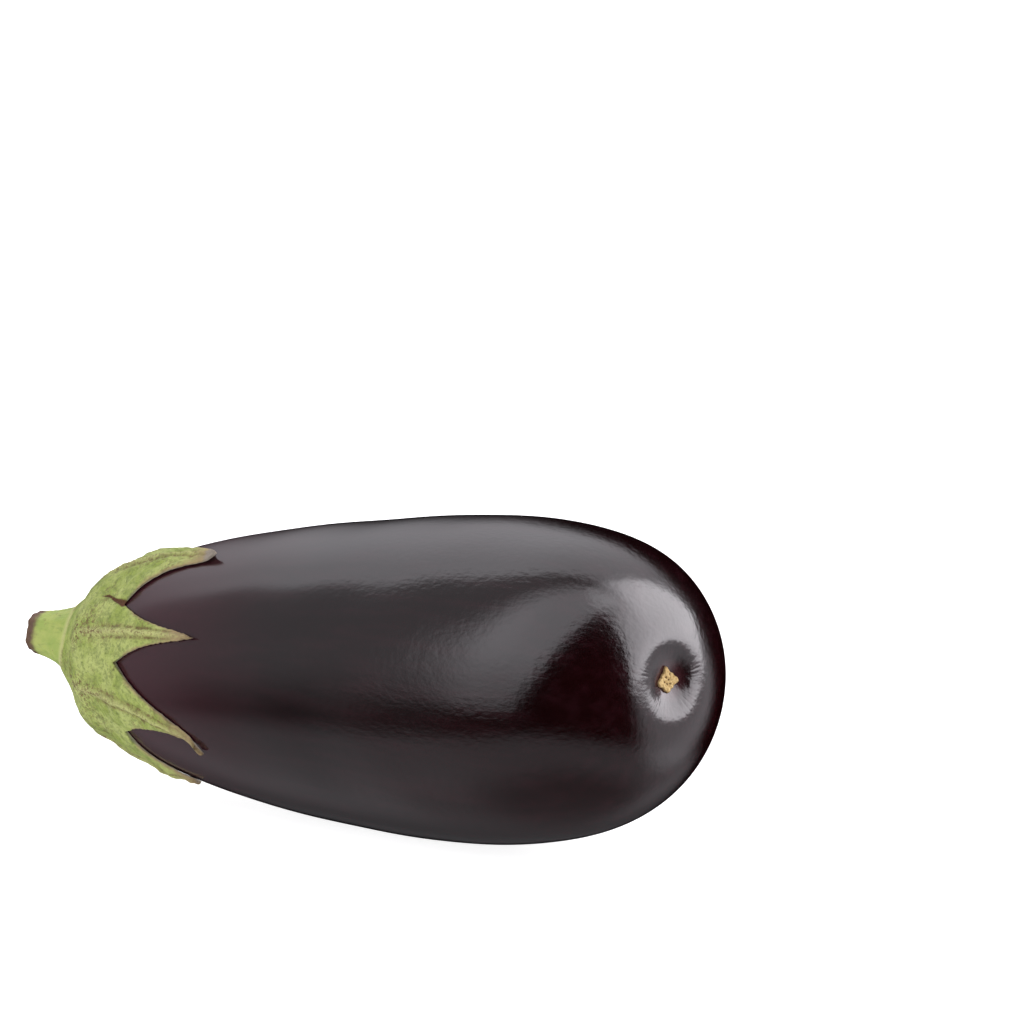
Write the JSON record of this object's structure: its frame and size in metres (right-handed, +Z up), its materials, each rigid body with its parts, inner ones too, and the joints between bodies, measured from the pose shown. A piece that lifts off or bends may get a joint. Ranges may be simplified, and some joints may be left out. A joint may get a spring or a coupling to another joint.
{
  "type": "eggplant",
  "caption": "Whole dark-purple eggplant lying on its side, with a green lobed leafy cap, a short cut stem and a corky scar in a dimple at the blossom end.",
  "frame": {"origin": "middle of the small flat spot that the fruit rests on", "axes": "+Z up from the surface it lies on; +X along the fruit from the stem to the blossom end; +Y to the left when looking along +X"},
  "size_m": [0.2348, 0.0932, 0.0944],
  "materials": {
    "fruit_skin": "smooth waxy near-black purple skin with a soft gloss",
    "calyx_leaf": "dull leathery yellow-green leaf with brown flecks and dry tan edges",
    "stem_green": "matt green rind with a brown corky cut",
    "scar_cork": "dry pale tan cork"
  },
  "bodies": {
    "root": {"fruit": "fruit_skin", "calyx": "calyx_leaf", "stem": "stem_green", "blossom_scar": "scar_cork"}
  },
  "joints": []
}
